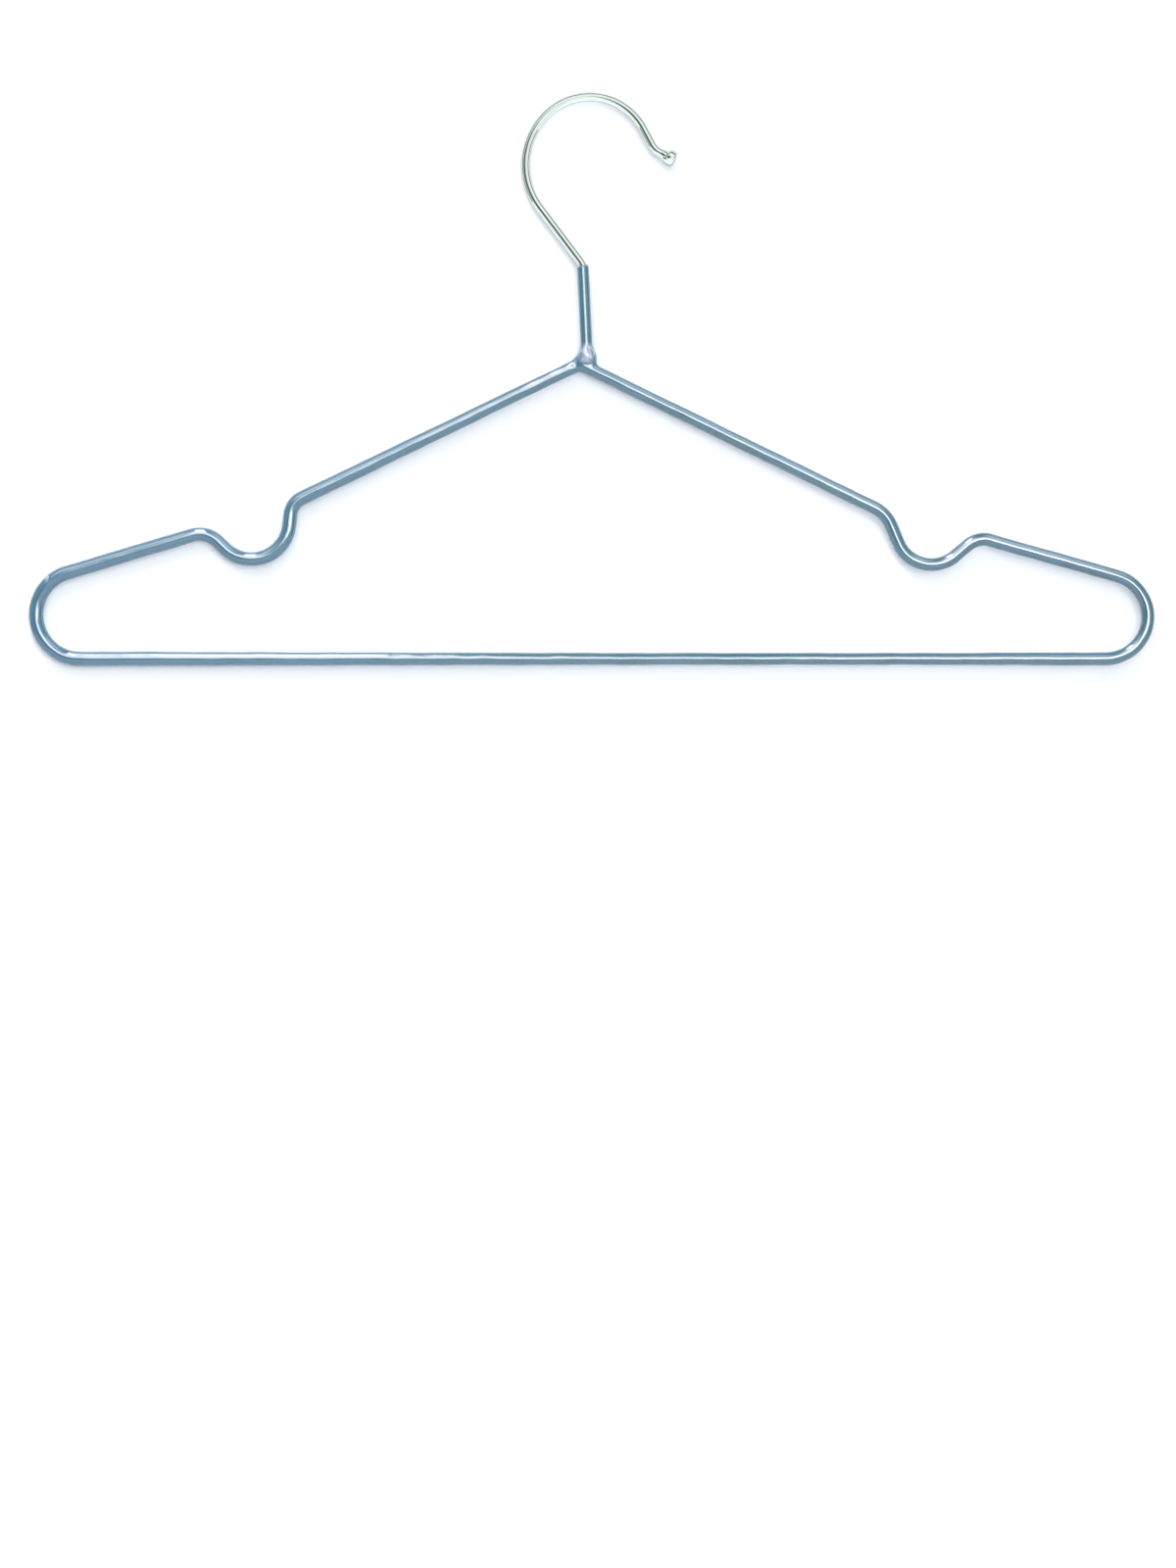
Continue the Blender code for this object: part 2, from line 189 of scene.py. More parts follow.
def side_moves(slope, shoulder, corner, wall_slope, wall, notch, rise_slope, rise, crest,
               outer_slope, reach):
    """Straights and bends from the apex to the bar, as if on the right; the last two meet the bar."""
    slope, wall_slope, rise_slope, outer_slope = map(
        math.radians, (slope, wall_slope, rise_slope, outer_slope))
    moves = [bend(APEX_RADIUS, -slope), (shoulder, 0.0), bend(corner, slope - wall_slope),
             (wall, 0.0), bend(notch, wall_slope + rise_slope), (rise, 0.0),
             bend(crest, -rise_slope - outer_slope)]
    x, z, _ = Route(0.0, 0.0, 0.0, moves).end
    sine, cosine = math.sin(outer_slope), math.cos(outer_slope)
    height, width = z + BAR_DROP, reach - x
    scale = sine * (1 - sine) - cosine * (1 + cosine)
    length = (height * (1 - sine) - width * (1 + cosine)) / scale
    radius = (width * sine - height * cosine) / scale
    return moves + [(length, 0.0), bend(radius, outer_slope - math.pi)]


def hook_routes():
    """The bare wire from the crown to the foot, and from the crown to the middle of the knob."""
    moves = [bend(CROWN_RADIUS, CROWN_SWEEP), bend(SIDE_RADIUS, SIDE_SWEEP), (SHANK_LENGTH, 0.0)]
    heading = math.pi + CROWN_SWEEP + SIDE_SWEEP
    moves.append(bend(SHANK_BEND_RADIUS, 1.5 * math.pi + NECK_LEAN - heading))
    moves.append((NECK_LENGTH, 0.0))
    down = Route(0.0, WIRE_RADIUS, math.pi, moves)
    out = Route(0.0, WIRE_RADIUS, 0.0, [bend(NOSE_RADIUS, -NOSE_SWEEP), (NOSE_LENGTH, 0.0),
                                        bend(TIP_BEND_RADIUS, TIP_TURN), (TIP_LENGTH, 0.0)])
    return down, out


def loop_route(foot_x, foot_z):
    """The closed loop, clockwise from the apex, which lies under the hook's foot."""
    near_edge = FOOT_OFFSET - WIRE_RADIUS
    rise = math.sqrt((APEX_RADIUS + WIRE_RADIUS + FOOT_GAP) ** 2 - near_edge ** 2)
    apex_x, apex_z = foot_x - FOOT_OFFSET, foot_z - rise + APEX_RADIUS
    right = side_moves(**RIGHT_SIDE)
    left = side_moves(**LEFT_SIDE)
    right_end = Route(0.0, 0.0, 0.0, right).end
    left_end = Route(0.0, 0.0, 0.0, left).end
    bar = (right_end[0] + left_end[0], 0.0)
    return Route(apex_x, apex_z, 0.0, right + [bar] + left[::-1], closed=True)


def section(route, lengths, radii, angles):
    """Points round the wire: rows follow the lengths and columns the angles from the left-hand side."""
    x, z, heading, _ = route.at(lengths)
    out = np.stack([-np.sin(heading), np.zeros_like(x), np.cos(heading)], axis=-1)
    middle = np.stack([x, np.zeros_like(x), z], axis=-1)
    through = np.array([0.0, 1.0, 0.0])
    return (middle[:, None] + radii[..., None]
            * (np.cos(angles)[None, :, None] * out[:, None] + np.sin(angles)[None, :, None] * through))


def stations(start, end, step_at):
    """Lengths between two ends, close together where the step is small."""
    marks = [start]
    while marks[-1] < end:
        marks.append(marks[-1] + step_at(marks[-1]))
    marks = np.array(marks)
    return start + (marks - start) * (end - start) / (marks[-1] - start)


def smooth_step(low, high, value):
    share = np.clip((value - low) / (high - low), 0.0, 1.0)
    return share * share * (3 - 2 * share)


def smooth_min(a, b, reach):
    """The smaller of two distances, with a fillet where they are alike."""
    share = np.maximum(reach - np.abs(a - b), 0.0) / reach
    return np.minimum(a, b) - share * share * reach / 4


def coat_radius(loop, lengths, angles):
    """Outer radius of the coat on the loop, with its swells, ripples and the drip under the apex."""
    share = (lengths / loop.length) % 1.0
    known = np.array(coat_radius_shares)
    shifts = np.linspace(-SWELL_BLUR, SWELL_BLUR, SWELL_PLACES)
    swell = np.mean([np.interp((share + shift) % 1.0, known[:, 0], known[:, 1]) for shift in shifts],
                    axis=0)
    radius = COAT_RADIUS * swell
    for waves, lobes, phase, height in coat_ripples:
        radius = radius + height * np.sin(math.tau * waves * share + lobes * angles + phase)
    for place, turn, depth, length in coat_nicks:
        away = (share - place) * loop.length / length
        round_away = ((angles - turn + math.pi) % math.tau - math.pi) / NICK_TURN
        radius = radius - depth * np.exp(-away ** 2 - round_away ** 2)
    past_apex = (lengths + loop.length / 2) % loop.length - loop.length / 2
    under = np.clip(-np.cos(angles), 0.0, 1.0)
    radius = radius + DRIP_DEPTH * under ** 2 * np.exp(-(past_apex / DRIP_LENGTH) ** 2)
    past_seam = (past_apex - SEAM_PLACE) / SEAM_LENGTH
    return radius - SEAM_DEPTH * np.sin(angles) ** 2 * np.exp(-past_seam ** 2)


class Line:
    """Nearest places on a finely cut centreline, for measuring from."""

    def __init__(self, route, start, end):
        self.lengths = np.linspace(start, end, 1 + int((end - start) / LINE_STEP))
        x, z, self.heading, _ = route.at(self.lengths)
        self.points = np.stack([x, np.zeros_like(x), z], axis=-1)

    def nearest(self, spots):
        """Distance, length along, and angle round the wire of each spot."""
        start = self.points[:-1]
        along = self.points[1:] - start
        share = np.einsum("nkc,kc->nk", spots[:, None] - start, along) / (along ** 2).sum(-1)
        share = np.clip(share, 0.0, 1.0)
        gap = spots[:, None] - (start + share[..., None] * along)
        distance = np.linalg.norm(gap, axis=-1)
        best = distance.argmin(axis=1)
        row = np.arange(len(spots))
        gap = gap[row, best]
        heading = self.heading[best]
        outward = -np.sin(heading) * gap[:, 0] + np.cos(heading) * gap[:, 2]
        length = self.lengths[best] + share[row, best] * (self.lengths[1] - self.lengths[0])
        return distance[row, best], length, np.arctan2(gap[:, 1], outward)


class CoatJoint:
    """Distance from the coat where the neck's bell sits on the loop."""

    def __init__(self, loop, down):
        self.loop = loop
        self.loop_line = Line(loop, *JOINT_LOOP)
        self.neck_line = Line(down, down.length - JOINT_NECK, down.length)
        self.neck_length = down.length
        x, z, heading = down.end
        self.foot = np.array([x, 0.0, z])
        self.up = -np.array([math.cos(heading), 0.0, math.sin(heading)])
        self.right = np.array([-math.sin(heading), 0.0, math.cos(heading)])

    def __call__(self, spots):
        distance, length, angle = self.loop_line.nearest(spots)
        shoulder = distance - coat_radius(self.loop, length, angle)
        distance, length, angle = self.neck_line.nearest(spots)
        bell = distance - neck_radius(self.neck_length - length)
        from_foot = spots - self.foot
        across = from_foot @ self.right
        floor = -(from_foot @ self.up) - BELL_FLOOR - BELL_FLOOR_SLANT * np.maximum(across, 0.0)
        bell = -smooth_min(-bell, -floor, BELL_FLOOR_ROUND)
        side = smooth_step(*FILLET_CHANGE, across)
        return smooth_min(shoulder, bell, LEFT_FILLET + (RIGHT_FILLET - LEFT_FILLET) * side)


def neck_radius(height):
    """Outer radius of the coat on the neck, at a height over the hook's foot."""
    known = np.array(bell_radii_mm) * MM
    return np.interp(height, known[:, 0], known[:, 1])


def press_onto(spots, distance_to):
    """Moves points onto a surface, down the slope of the distance from it."""
    value = distance_to(spots)
    slope = np.stack([(distance_to(spots + PROBE_STEP * axis) - value) / PROBE_STEP for axis in np.eye(3)],
                     axis=-1)
    return spots - slope * (value / (slope ** 2).sum(-1))[:, None]


def new_piece(name, points, faces):
    """A smooth-shaded object in the scene, with its faces turned outwards."""
    mesh = bpy.data.meshes.new(name)
    mesh.from_pydata(np.asarray(points).tolist(), [], faces)
    work = bmesh.new()
    work.from_mesh(mesh)
    bmesh.ops.recalc_face_normals(work, faces=work.faces)
    work.to_mesh(mesh)
    work.free()
    mesh.shade_smooth()
    piece = bpy.data.objects.new(name, mesh)
    bpy.context.scene.collection.objects.link(piece)
    return piece


def relax(points, faces, give_way, rounds, distance_to):
    """Evens out the free points of a mesh while they slide on a surface, then softens its small ridges."""
    free = give_way > 0.0
    edges = {tuple(sorted(pair)) for face in faces for pair in zip(face, face[1:] + face[:1])}
    edges = np.array(sorted(edges))
    edges = edges[free[edges].any(axis=1)]
    for turn in range(rounds + SOFT_ROUNDS):
        total = np.zeros_like(points)
        count = np.zeros(len(points))
        for start, end in (edges.T, edges.T[::-1]):
            np.add.at(total, start, points[end])
            np.add.at(count, start, 1)
        middle = total[free] / count[free][:, None]
        if turn < rounds:
            points[free] = press_onto((points[free] + middle) / 2, distance_to)
        else:
            points[free] += give_way[free][:, None] * (middle - points[free]) / 2
    return points


def under_foot(loop, foot_x, foot_z):
    """Length along the loop of the place closest to the hook's foot."""
    lengths = np.arange(0, FOOT_SEARCH, FOOT_STEP)
    x, z, _, _ = loop.at(lengths)
    return lengths[np.hypot(x - foot_x, z - foot_z).argmin()]


def make_coat(loop, down):
    """One skin over the loop and the neck: two swept tubes sewn together round a hole under the bell."""
    foot_x, foot_z, _ = down.end
    middle = under_foot(loop, foot_x, foot_z)
    fine_places = [(middle, JOINT_REACH)] + [(nick[0] * loop.length, NICK_REACH) for nick in coat_nicks]

    def loop_step(length):
        past = [abs((length - place + loop.length / 2) % loop.length - loop.length / 2) - reach
                for place, reach in fine_places]
        rate = abs(loop.at(np.array([length]))[3][0])
        step = min(COARSE_STEP, BEND_STEP / rate if rate else COARSE_STEP)
        return min(step, FINE_STEP + max(0.0, min(past)) / STEP_GROWTH)

    first = middle - HOLE_HALF
    hole = np.linspace(first, middle + HOLE_HALF, HOLE_CELLS + 1)
    rest = stations(hole[-1], first + loop.length, loop_step)
    lengths = np.concatenate([hole, rest[1:-1]])
    angles = np.arange(COAT_SIDES) * math.tau / COAT_SIDES
    radii = coat_radius(loop, lengths[:, None], angles[None])
    loop_points = section(loop, lengths, radii, angles)
    rings = len(lengths)

    half = HOLE_CELLS // 2
    neck_sides = 4 * HOLE_CELLS

    def spot(ring, side):
        return (ring % rings) * COAT_SIDES + side % COAT_SIDES

    faces = [(spot(i, j), spot(i, j + 1), spot(i + 1, j + 1), spot(i + 1, j))
             for i in range(rings) for j in range(-half, COAT_SIDES - half)
             if i >= HOLE_CELLS or j >= half]
    edge = ([(HOLE_CELLS, j) for j in range(0, half)] + [(i, half) for i in range(HOLE_CELLS, 0, -1)]
            + [(0, j) for j in range(half, -half, -1)] + [(i, -half) for i in range(HOLE_CELLS)]
            + [(HOLE_CELLS, j) for j in range(-half, 0)])

    lip = np.array(lip_radii_mm) * MM
    below_top = np.concatenate([lip[:, 0], np.linspace(*sleeve_rows), np.linspace(*bell_rows)])
    neck_lengths = down.length - SLEEVE_LENGTH + below_top
    neck_radii = neck_radius(SLEEVE_LENGTH - below_top)
    neck_radii[:len(lip)] = lip[:, 1]
    neck_angles = np.arange(neck_sides) * math.tau / neck_sides
    neck_points = section(down, neck_lengths, neck_radii[:, None].repeat(neck_sides, 1), neck_angles)
    base = rings * COAT_SIDES

    def neck_spot(ring, side):
        return base + ring * neck_sides + side % neck_sides

    last = len(neck_lengths) - 1
    faces += [(neck_spot(i, j), neck_spot(i, j + 1), neck_spot(i + 1, j + 1), neck_spot(i + 1, j))
              for i in range(last) for j in range(neck_sides)]
    faces += [(neck_spot(last, k), neck_spot(last, k + 1),
               spot(*edge[(k + 1) % neck_sides]), spot(*edge[k])) for k in range(neck_sides)]

    points = np.concatenate([loop_points.reshape(-1, 3), neck_points.reshape(-1, 3)])
    joint = CoatJoint(loop, down)
    inside = JOINT_REACH - np.linalg.norm(points - joint.foot, axis=1)
    used = np.zeros(len(points), bool)
    used[np.unique(np.array(faces))] = True
    points = relax(points, faces, used * smooth_step(0.0, SOFT_FADE, inside), JOINT_ROUNDS, joint)

    place = np.cumsum(used) - 1
    faces = [tuple(int(place[v]) for v in face) for face in faces]
    coat = new_piece("dipped_coat", points[used], faces)
    shell = coat.modifiers.new("wall", "SOLIDIFY")
    shell.thickness = COAT_WALL
    shell.offset = -1.0
    return coat


def make_hook(down, out):
    """The bare hook: one wire swept from the foot to the knob, and the rings of the knob upset on its end."""
    down_marks = stations(0.0, down.length, lambda length: HOOK_STEP)[::-1]
    out_marks = stations(0.0, out.length - KNOB_START, lambda length: NOSE_STEP)[1:]
    angles = np.arange(HOOK_SIDES) * math.tau / HOOK_SIDES

    wire = np.full((1, HOOK_SIDES), WIRE_RADIUS)
    lower = section(down, down_marks, wire.repeat(len(down_marks), 0), -angles + math.pi)
    upper = section(out, out_marks, wire.repeat(len(out_marks), 0), angles)

    knob = np.array(knob_rings_mm) * MM
    knob_along = out.length + knob[:, 0]
    head = section(out, np.minimum(knob_along, out.length), knob[:, 1:2].repeat(HOOK_SIDES, 1), angles)
    ahead = np.array([math.cos(out.end[2]), 0.0, math.sin(out.end[2])])
    aside = np.array([-math.sin(out.end[2]), 0.0, math.cos(out.end[2])])
    head += np.maximum(knob[:, 0], 0.0)[:, None, None] * ahead + knob[:, 2, None, None] * aside

    rows = np.concatenate([lower, upper, head[:-1]])
    lengths = np.concatenate([-down_marks, out_marks, knob_along[:-1]])
    count = len(rows)
    points = np.concatenate([rows.reshape(-1, 3), head[-1:, 0], [rows[0].mean(axis=0)]])
    tip, foot = count * HOOK_SIDES, count * HOOK_SIDES + 1

    def spot(ring, side):
        return ring * HOOK_SIDES + side % HOOK_SIDES

    faces = [(spot(i, j), spot(i, j + 1), spot(i + 1, j + 1), spot(i + 1, j))
             for i in range(count - 1) for j in range(HOOK_SIDES)]
    faces += [(spot(count - 1, j), spot(count - 1, j + 1), tip) for j in range(HOOK_SIDES)]
    faces += [(spot(0, j + 1), spot(0, j), foot) for j in range(HOOK_SIDES)]
    hook = new_piece("plated_hook", points, faces)

    drawn = np.zeros((len(points), 3))
    drawn[:count * HOOK_SIDES, 0] = lengths.repeat(HOOK_SIDES)
    drawn[:count * HOOK_SIDES, 1] = np.tile(np.cos(angles), count) * WIRE_RADIUS
    drawn[:count * HOOK_SIDES, 2] = np.tile(np.sin(angles), count) * WIRE_RADIUS
    drawn[tip, 0] = lengths[-1]
    drawn[foot, 0] = lengths[0]
    along = hook.data.attributes.new("drawn", "FLOAT_VECTOR", "POINT")
    along.data.foreach_set("vector", drawn.ravel())
    return hook


def node(tree, kind, **inputs):
    """Adds a shader node; each value is a setting of the node, a number for a socket, or a link."""
    made = tree.nodes.new(kind)
    for name, value in inputs.items():
        if hasattr(made, name):
            setattr(made, name, value)
            continue
        socket = made.inputs[int(name[1:])] if name[1:].isdigit() else made.inputs[name.replace("_", " ")]
        if isinstance(value, bpy.types.NodeSocket):
            tree.links.new(value, socket)
        else:
            socket.default_value = value
    return made


def new_material(name):
    """A material with its node tree and its shader."""
    material = bpy.data.materials.new(name)
    material.use_nodes = True
    return material, material.node_tree, material.node_tree.nodes["Principled BSDF"]


def noise(tree, where, scale, detail, roughness):
    return node(tree, "ShaderNodeTexNoise", Vector=where, Scale=scale, Detail=detail,
                Roughness=roughness).outputs["Fac"]


def spread(tree, value, low, high, to_low, to_high):
    """Maps a range of values onto another, and stops at its ends."""
    return node(tree, "ShaderNodeMapRange", Value=value, From_Min=low, From_Max=high,
                To_Min=to_low, To_Max=to_high).outputs["Result"]


def mixed(tree, share, first, second):
    """Goes from the first colour to the second as the share goes from 0 to 1."""
    mix = node(tree, "ShaderNodeMix", data_type="RGBA")
    tree.links.new(share, mix.inputs["Factor"])
    for value, socket in ((first, mix.inputs[6]), (second, mix.inputs[7])):
        if isinstance(value, bpy.types.NodeSocket):
            tree.links.new(value, socket)
        else:
            socket.default_value = value
    return mix.outputs[2]


def near(tree, where, place, full, none):
    """One close to a place, fading to nothing further off."""
    away = node(tree, "ShaderNodeVectorMath", operation="DISTANCE", _0=where, _1=place).outputs["Value"]
    return spread(tree, away, full, none, 1.0, 0.0)


def product(tree, first, second, added=0.0):
    return node(tree, "ShaderNodeMath", operation="MULTIPLY_ADD", _0=first, _1=second, _2=added).outputs[0]


def larger(tree, first, second):
    return node(tree, "ShaderNodeMath", operation="MAXIMUM", _0=first, _1=second).outputs[0]


def relief(tree, shader, height, depth):
    """Raises the surface by a fine height, without moving its points."""
    bump = node(tree, "ShaderNodeBump", Strength=1.0, Distance=depth, Height=height)
    tree.links.new(bump.outputs["Normal"], shader.inputs["Normal"])


# Dipped plastic: colours, noises as (scale per metre, detail, roughness), the ranges that they are cut to,
# and the reaches of the marks
COAT_DARK = (0.028, 0.115, 0.158, 1.0)
COAT_LIGHT = (0.049, 0.141, 0.198, 1.0)
COAT_THICK = (0.066, 0.178, 0.278, 1.0)
COAT_SPECK = (0.085, 0.185, 0.262, 1.0)
# Painted highlight: a pale lavender colour on the front of the bell, standing in for the light that it
# reflects
BELL_HIGHLIGHT_COLOUR = (0.36, 0.41, 0.53, 1.0)
# Pale speck round the first nick in the coat
NICK_PALE_COLOUR = (0.80, 0.85, 0.92, 1.0)
THIN_X, THICK_X = 0.04, -0.12
THICK_SHARE = 0.5
CLOUD_NOISE = (45.0, 4.0, 0.5)
CLOUD_RANGE = (0.35, 0.65)
SPECK_NOISE = (900.0, 3.0, 0.5)
SPECK_RANGE = (0.45, 0.75)
SPECK_SHARE = 0.3
BLOTCH_NOISE = (420.0, 3.0, 0.5)
BLOTCH_RANGE = (0.35, 0.62)
BLOTCH_LEAST = 0.3
BELL_MIDDLE = 2.1 * MM
# Painted highlight on the bell: its middle lies this far in front of the bell's axis, it fades in between two
# heights and two distances, and the plastic is also rougher there
BELL_HIGHLIGHT_DEPTH = 2.8 * MM
BELL_HIGHLIGHT_EDGE = (-1.7 * MM, -0.9 * MM)
BELL_HIGHLIGHT_REACH = (2.6 * MM, 4.3 * MM)
BELL_HIGHLIGHT_ROUGHNESS = 0.26
NICK_PALE_REACH = (0.45 * MM, 1.1 * MM)
SHEEN_NOISE = (38.0, 1.0, 0.5)
COAT_ROUGHNESS = (0.10, 0.125)
PEEL_NOISE = (650.0, 2.0, 0.4)
LUMP_NOISE = (160.0, 2.0, 0.4)
LUMP_SHARE = 3.0
COAT_RELIEF = 0.013 * MM
COAT_IOR = 1.62
COAT_SPECULAR = 1.0


def dipped_plastic(bell, pale_spot):
    """Glossy dipped plastic: bluer where it is thick, with a painted highlight on the front of the bell over
    the weld, paler at the nick.
    """
    material, tree, shader = new_material("dipped_plastic")
    where = node(tree, "ShaderNodeTexCoord").outputs["Object"]
    place = node(tree, "ShaderNodeSeparateXYZ", Vector=where).outputs
    cloud = noise(tree, where, *CLOUD_NOISE)
    speck = noise(tree, where, *SPECK_NOISE)
    thick = spread(tree, place["X"], THIN_X, THICK_X, 0.0, 1.0)
    colour = mixed(tree, spread(tree, cloud, *CLOUD_RANGE, 0.0, 1.0), COAT_DARK, COAT_LIGHT)
    colour = mixed(tree, product(tree, thick, THICK_SHARE), colour, COAT_THICK)
    colour = mixed(tree, spread(tree, speck, *SPECK_RANGE, 0.0, SPECK_SHARE), colour, COAT_SPECK)
    blotch = spread(tree, noise(tree, where, *BLOTCH_NOISE), *BLOTCH_RANGE, BLOTCH_LEAST, 1.0)
    edge = [bell[2] - BELL_MIDDLE + height for height in BELL_HIGHLIGHT_EDGE]
    above = spread(tree, place["Z"], *edge, 0.0, 1.0)
    # Painted highlight: pale on the bell's front above its floor, for the light that it reflects
    painted_highlight = product(tree, near(tree, where, bell, *BELL_HIGHLIGHT_REACH), product(tree, above, blotch))
    colour = mixed(tree, painted_highlight, colour, BELL_HIGHLIGHT_COLOUR)
    # Paler round the first nick
    paled = product(tree, near(tree, where, pale_spot, *NICK_PALE_REACH), blotch)
    colour = mixed(tree, paled, colour, NICK_PALE_COLOUR)

    sheen = spread(tree, noise(tree, where, *SHEEN_NOISE), 0.0, 1.0, *COAT_ROUGHNESS)
    peel = noise(tree, where, *PEEL_NOISE)
    lumps = noise(tree, where, *LUMP_NOISE)
    relief(tree, shader, product(tree, lumps, LUMP_SHARE, peel), COAT_RELIEF)
    tree.links.new(colour, shader.inputs["Base Color"])
    tree.links.new(product(tree, painted_highlight, BELL_HIGHLIGHT_ROUGHNESS, sheen), shader.inputs["Roughness"])
    shader.inputs["IOR"].default_value = COAT_IOR
    shader.inputs["Specular IOR Level"].default_value = COAT_SPECULAR
    return material


# Steels: dark and light colour, lowest roughness, its range and the depth of the lines
plated_looks = ((0.72, 0.79, 0.75, 1.0), (0.90, 0.96, 0.93, 1.0), 0.05, 0.06, 0.002 * MM)
bare_looks = ((0.24, 0.24, 0.25, 1.0), (0.36, 0.36, 0.37, 1.0), 0.35, 0.15, 0.004 * MM)
weld_looks = ((0.12, 0.11, 0.10, 1.0), (0.28, 0.26, 0.24, 1.0), 0.5, 0.2, 0.05 * MM)
# Painted shade in the hook's reflections: a near-black edge tint darkens them towards the outline, for the
# shade that its edges would reflect
DARK_EDGE_REFLECTION_TINT = (0.0, 0.02, 0.01, 1.0)
LINE_PULL = (0.03, 1.0, 1.0)
STREAK_NOISE = (2600.0, 3.0, 0.6)
STREAK_RANGE = (0.3, 0.7)
BAND_NOISE = (700.0, 2.0, 0.5)
BAND_SHARE = 2.0
STAIN_NOISE = (120.0, 4.0, 0.6)
STAIN_RANGE = (0.35, 0.7)


def drawn_steel(name, dark, light, roughness, stained, lines, where_from=None):
    """Steel wire with fine lines along it, unevenly stained."""
    material, tree, shader = new_material(name)
    if where_from:
        where = node(tree, "ShaderNodeAttribute", attribute_name=where_from).outputs["Vector"]
    else:
        where = node(tree, "ShaderNodeTexCoord").outputs["Object"]
    pulled = node(tree, "ShaderNodeVectorMath", operation="MULTIPLY", _0=where, _1=LINE_PULL).outputs[0]
    streaks = noise(tree, pulled, *STREAK_NOISE)
    bands = noise(tree, pulled, *BAND_NOISE)
    stain = spread(tree, noise(tree, where, *STAIN_NOISE), *STAIN_RANGE, 0.0, 1.0)
    colour = mixed(tree, spread(tree, streaks, *STREAK_RANGE, 0.0, 1.0), dark, light)
    relief(tree, shader, product(tree, bands, BAND_SHARE, streaks), lines)
    tree.links.new(colour, shader.inputs["Base Color"])
    tree.links.new(product(tree, stain, stained, roughness), shader.inputs["Roughness"])
    shader.inputs["Metallic"].default_value = 1.0
    return material


def give(piece, material):
    if piece.material_slots:
        for holder in piece.material_slots:
            holder.material = material
    else:
        piece.data.materials.append(material)


# Stage: a white wall close behind the hanger, swept forward into a floor well below the picture. The share
# of plain white that it shows instead of its lit self rises between two distances to the side.
WALL_Y = 4.3 * MM
WALL_SLANT = 0.0075
FLOOR_Z = -0.64
STAGE_REACH = 1.6
STAGE_TOP = 1.2
FLOOR_REACH = 1.2
COVE_RADIUS = 0.06
COVE_STEPS = 8
WALL_WHITE = (0.86, 0.89, 0.92, 1.0)
SHOWN_WHITE = (0.97, 0.99, 1.0, 1.0)
SHOWN_SHARE = 0.22
SHARE_FROM, SHARE_FULL = 0.4, 1.0


def make_stage():
    """Wall and floor in one sweep, which can be seen through from behind."""
    turns = [math.radians(step * 90 / COVE_STEPS) for step in range(COVE_STEPS + 1)]
    profile = [(WALL_Y, STAGE_TOP)]
    profile += [(WALL_Y - COVE_RADIUS * (1 - math.cos(t)), FLOOR_Z + COVE_RADIUS * (1 - math.sin(t)))
                for t in turns]
    profile.append((-FLOOR_REACH, FLOOR_Z))
    points = [(x, y + WALL_SLANT * x, z) for y, z in profile for x in (-STAGE_REACH, STAGE_REACH)]
    faces = [(2 * i, 2 * i + 2, 2 * i + 3, 2 * i + 1) for i in range(len(profile) - 1)]
    mesh = bpy.data.meshes.new("studio_sweep")
    mesh.from_pydata(points, [], faces)
    mesh.shade_smooth()
    sweep = bpy.data.objects.new("studio_sweep", mesh)
    bpy.context.scene.collection.objects.link(sweep)

    material = bpy.data.materials.new("studio_white")
    material.use_nodes = True
    tree = material.node_tree
    tree.nodes.clear()
    path = node(tree, "ShaderNodeLightPath").outputs
    facing = node(tree, "ShaderNodeNewGeometry").outputs["Backfacing"]
    plain = node(tree, "ShaderNodeBsdfDiffuse", Color=WALL_WHITE)
    white = node(tree, "ShaderNodeEmission", Color=SHOWN_WHITE, Strength=1.0)
    seen = larger(tree, path["Is Camera Ray"], path["Is Glossy Ray"])
    seen = larger(tree, seen, path["Is Transmission Ray"])
    side = node(tree, "ShaderNodeSeparateXYZ", Vector=node(tree, "ShaderNodeTexCoord").outputs["Object"])
    aside = node(tree, "ShaderNodeMath", operation="ABSOLUTE", _0=side.outputs["X"]).outputs[0]
    share = product(tree, seen, spread(tree, aside, SHARE_FROM, SHARE_FULL, SHOWN_SHARE, 1.0))
    lit = node(tree, "ShaderNodeMixShader", _0=share, _1=plain.outputs[0], _2=white.outputs[0])
    clear = node(tree, "ShaderNodeBsdfTransparent")
    shown = node(tree, "ShaderNodeMixShader", _0=facing, _1=lit.outputs[0], _2=clear.outputs[0])
    node(tree, "ShaderNodeOutputMaterial", Surface=shown.outputs[0])
    sweep.data.materials.append(material)
    return sweep


# Room: white to the camera, and to gloss where it lies ahead of the hanger, but for a dim patch. The edges
# are cosines of the angle from straight ahead and from the patch's middle.
WHITE = (1.0, 1.0, 1.0, 1.0)
AHEAD = (0.0, -1.0, 0.0)
AHEAD_EDGE = (0.52, 0.34)
PATCH_MIDDLE = (-0.438, -0.898, 0.035)
PATCH_EDGE = (0.875, 0.935)
DIM_COLOUR = (0.08, 0.13, 0.10, 1.0)
FILL_COLOUR = (0.70, 0.82, 1.0, 1.0)
FILL_STRENGTH = 0.10


def towards(tree, where, direction, low, high):
    """Goes from 0 to 1 between two cosines of the angle from a direction."""
    cosine = node(tree, "ShaderNodeVectorMath", operation="DOT_PRODUCT", _0=where, _1=direction)
    return spread(tree, cosine.outputs["Value"], low, high, 0.0, 1.0)


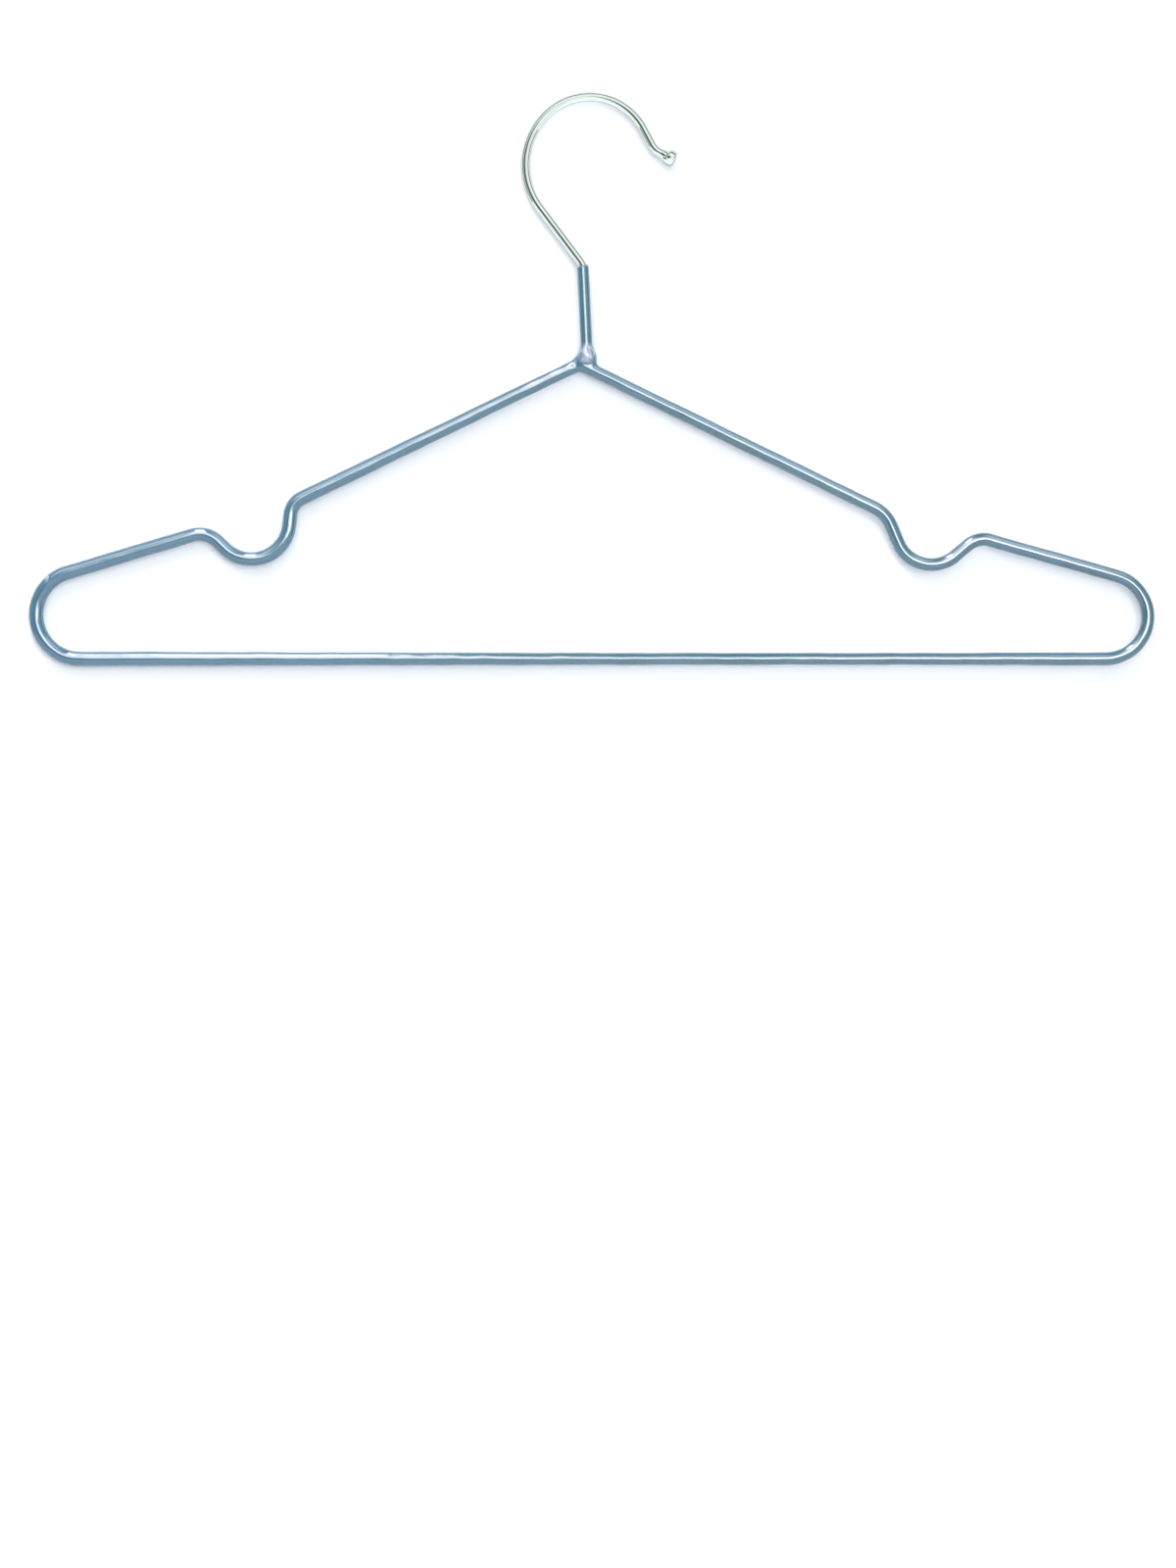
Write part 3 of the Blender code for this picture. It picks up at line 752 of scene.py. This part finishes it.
def make_world():
    """Room round the hanger, with a faint fill light."""
    world = bpy.data.worlds.new("studio")
    bpy.context.scene.world = world
    world.use_nodes = True
    tree = world.node_tree
    tree.nodes.clear()
    path = node(tree, "ShaderNodeLightPath").outputs
    where = node(tree, "ShaderNodeTexCoord").outputs["Generated"]
    dim = larger(tree, towards(tree, where, PATCH_MIDDLE, *PATCH_EDGE),
                 towards(tree, where, AHEAD, *AHEAD_EDGE))
    shown = mixed(tree, dim, WHITE, DIM_COLOUR)
    room = node(tree, "ShaderNodeBackground", Color=shown, Strength=1.0)
    fill = node(tree, "ShaderNodeBackground", Color=FILL_COLOUR, Strength=FILL_STRENGTH)
    white = node(tree, "ShaderNodeBackground", Color=WHITE, Strength=1.0)
    glossy = larger(tree, path["Is Glossy Ray"], path["Is Transmission Ray"])
    lit = node(tree, "ShaderNodeMixShader", _0=glossy, _1=fill.outputs[0], _2=room.outputs[0])
    seen = node(tree, "ShaderNodeMixShader", _0=path["Is Camera Ray"], _1=lit.outputs[0],
                _2=white.outputs[0])
    node(tree, "ShaderNodeOutputWorld", Surface=seen.outputs[0])


# Lamps: name, place, what it faces, width, height, radiance, colour
AIM = (0.0, 0.0, -0.12)
WARM = (1.0, 0.985, 0.97)
lamps = (
    ("window_ahead", (0.363, -2.29, 0.40), AIM, 0.95, 1.3, 5.6, WARM),
    ("window_left", (-0.341, -2.152, 0.76), AIM, 0.55, 1.65, 4.8, WARM),
    ("low_right", (0.33, -0.85, -0.14), (0.2, 0.0, -0.14), 0.45, 0.18, 5.2, WARM),
    ("panel_above", (-0.2, -0.45, 0.6), (-0.2, -0.45, 0.0), 0.2, 0.82, 7.0, (1.0, 0.92, 0.95)),
    ("sky_left", (-0.62, -0.85, 0.95), AIM, 1.0, 0.9, 2.3, (0.92, 0.92, 1.0)),
    ("sky_right", (0.70, -0.70, 1.14), AIM, 0.8, 0.8, 2.4, (0.90, 0.91, 1.0)),
)
back_lamp = ("sky_behind", (0.0, 2.2, -0.12), AIM, 0.9, 0.7, 15.0, (0.95, 0.97, 1.0))


def left_out(name, *pieces):
    """A collection that leaves its pieces out of a lamp's light, or out of what blocks it."""
    group = bpy.data.collections.new(name)
    for piece in pieces:
        group.objects.link(piece)
    for member in group.collection_objects:
        member.light_linking.link_state = "EXCLUDE"
    return group


def make_lamp(name, place, faces, width, height, radiance, colour):
    """A soft rectangular lamp that the camera doesn't see."""
    light = bpy.data.lights.new(name, "AREA")
    light.shape = "RECTANGLE"
    light.size = width
    light.size_y = height
    light.energy = radiance * math.pi * width * height
    light.color = colour
    lamp = bpy.data.objects.new(name, light)
    lamp.location = place
    lamp.rotation_euler = (Vector(faces) - Vector(place)).to_track_quat("-Z", "Y").to_euler()
    lamp.visible_camera = False
    bpy.context.scene.collection.objects.link(lamp)
    return lamp


def make_lamps(hook, sweep):
    """Windows and panels for the coat and a lamp for its back; the mirror-bright hook shows the room."""
    shown_by_room = left_out("shown_by_room", hook)
    for lamp in lamps:
        make_lamp(*lamp).light_linking.receiver_collection = shown_by_room
    behind = make_lamp(*back_lamp)
    behind.visible_glossy = False
    behind.light_linking.receiver_collection = left_out("not_lit_from_behind", hook, sweep)
    behind.light_linking.blocker_collection = left_out("passed_from_behind", sweep)


# Camera: straight on, in a frame of 1200 by 1600 pixels with the hanger in its upper half
PIXEL = 0.34874 * MM
FRAME_WIDTH, FRAME_HEIGHT = 1200 * PIXEL, 1600 * PIXEL
CROWN_ACROSS, CROWN_DOWN = 602 * PIXEL, 103.5 * PIXEL
CAMERA_DISTANCE = 1.2


def make_camera():
    """Camera with the inside of the hook's crown at its place in the frame."""
    data = bpy.data.cameras.new("camera")
    data.lens = data.sensor_width * CAMERA_DISTANCE / FRAME_HEIGHT
    camera = bpy.data.objects.new("camera", data)
    camera.location = (FRAME_WIDTH / 2 - CROWN_ACROSS, -CAMERA_DISTANCE, CROWN_DOWN - FRAME_HEIGHT / 2)
    camera.rotation_euler = (math.pi / 2, 0.0, 0.0)
    bpy.context.scene.collection.objects.link(camera)
    bpy.context.scene.camera = camera


def main():
    down, out = hook_routes()
    foot_x, foot_z, heading = down.end
    loop = loop_route(foot_x, foot_z)

    coat = make_coat(loop, down)
    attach(coat, "root")
    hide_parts("coating")
    # Middle of the painted highlight, in front of the bell
    bell = (foot_x - BELL_MIDDLE * math.cos(heading), -BELL_HIGHLIGHT_DEPTH,
            foot_z - BELL_MIDDLE * math.sin(heading))
    place, turn = coat_nicks[0][:2]
    nick = section(loop, np.array([place * loop.length]), np.array([[COAT_RADIUS]]), np.array([turn]))
    give(coat, dipped_plastic(bell, nick[0, 0]))

    hook = make_hook(down, out)
    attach(hook, "root")
    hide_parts("hook_wire")
    chrome = drawn_steel("plated_steel", *plated_looks, where_from="drawn")
    # Near-black edge tint: painted shade in the reflections at the hook's outline
    chrome.node_tree.nodes["Principled BSDF"].inputs["Specular Tint"].default_value = DARK_EDGE_REFLECTION_TINT
    give(hook, chrome)

    give(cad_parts["frame_wire"], drawn_steel("bare_steel", *bare_looks))
    give(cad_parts["neck_weld"], drawn_steel("weld_steel", *weld_looks))

    sweep = make_stage()
    make_world()
    make_lamps(hook, sweep)
    make_camera()
    bpy.context.scene.view_settings.view_transform = "Standard"


main()
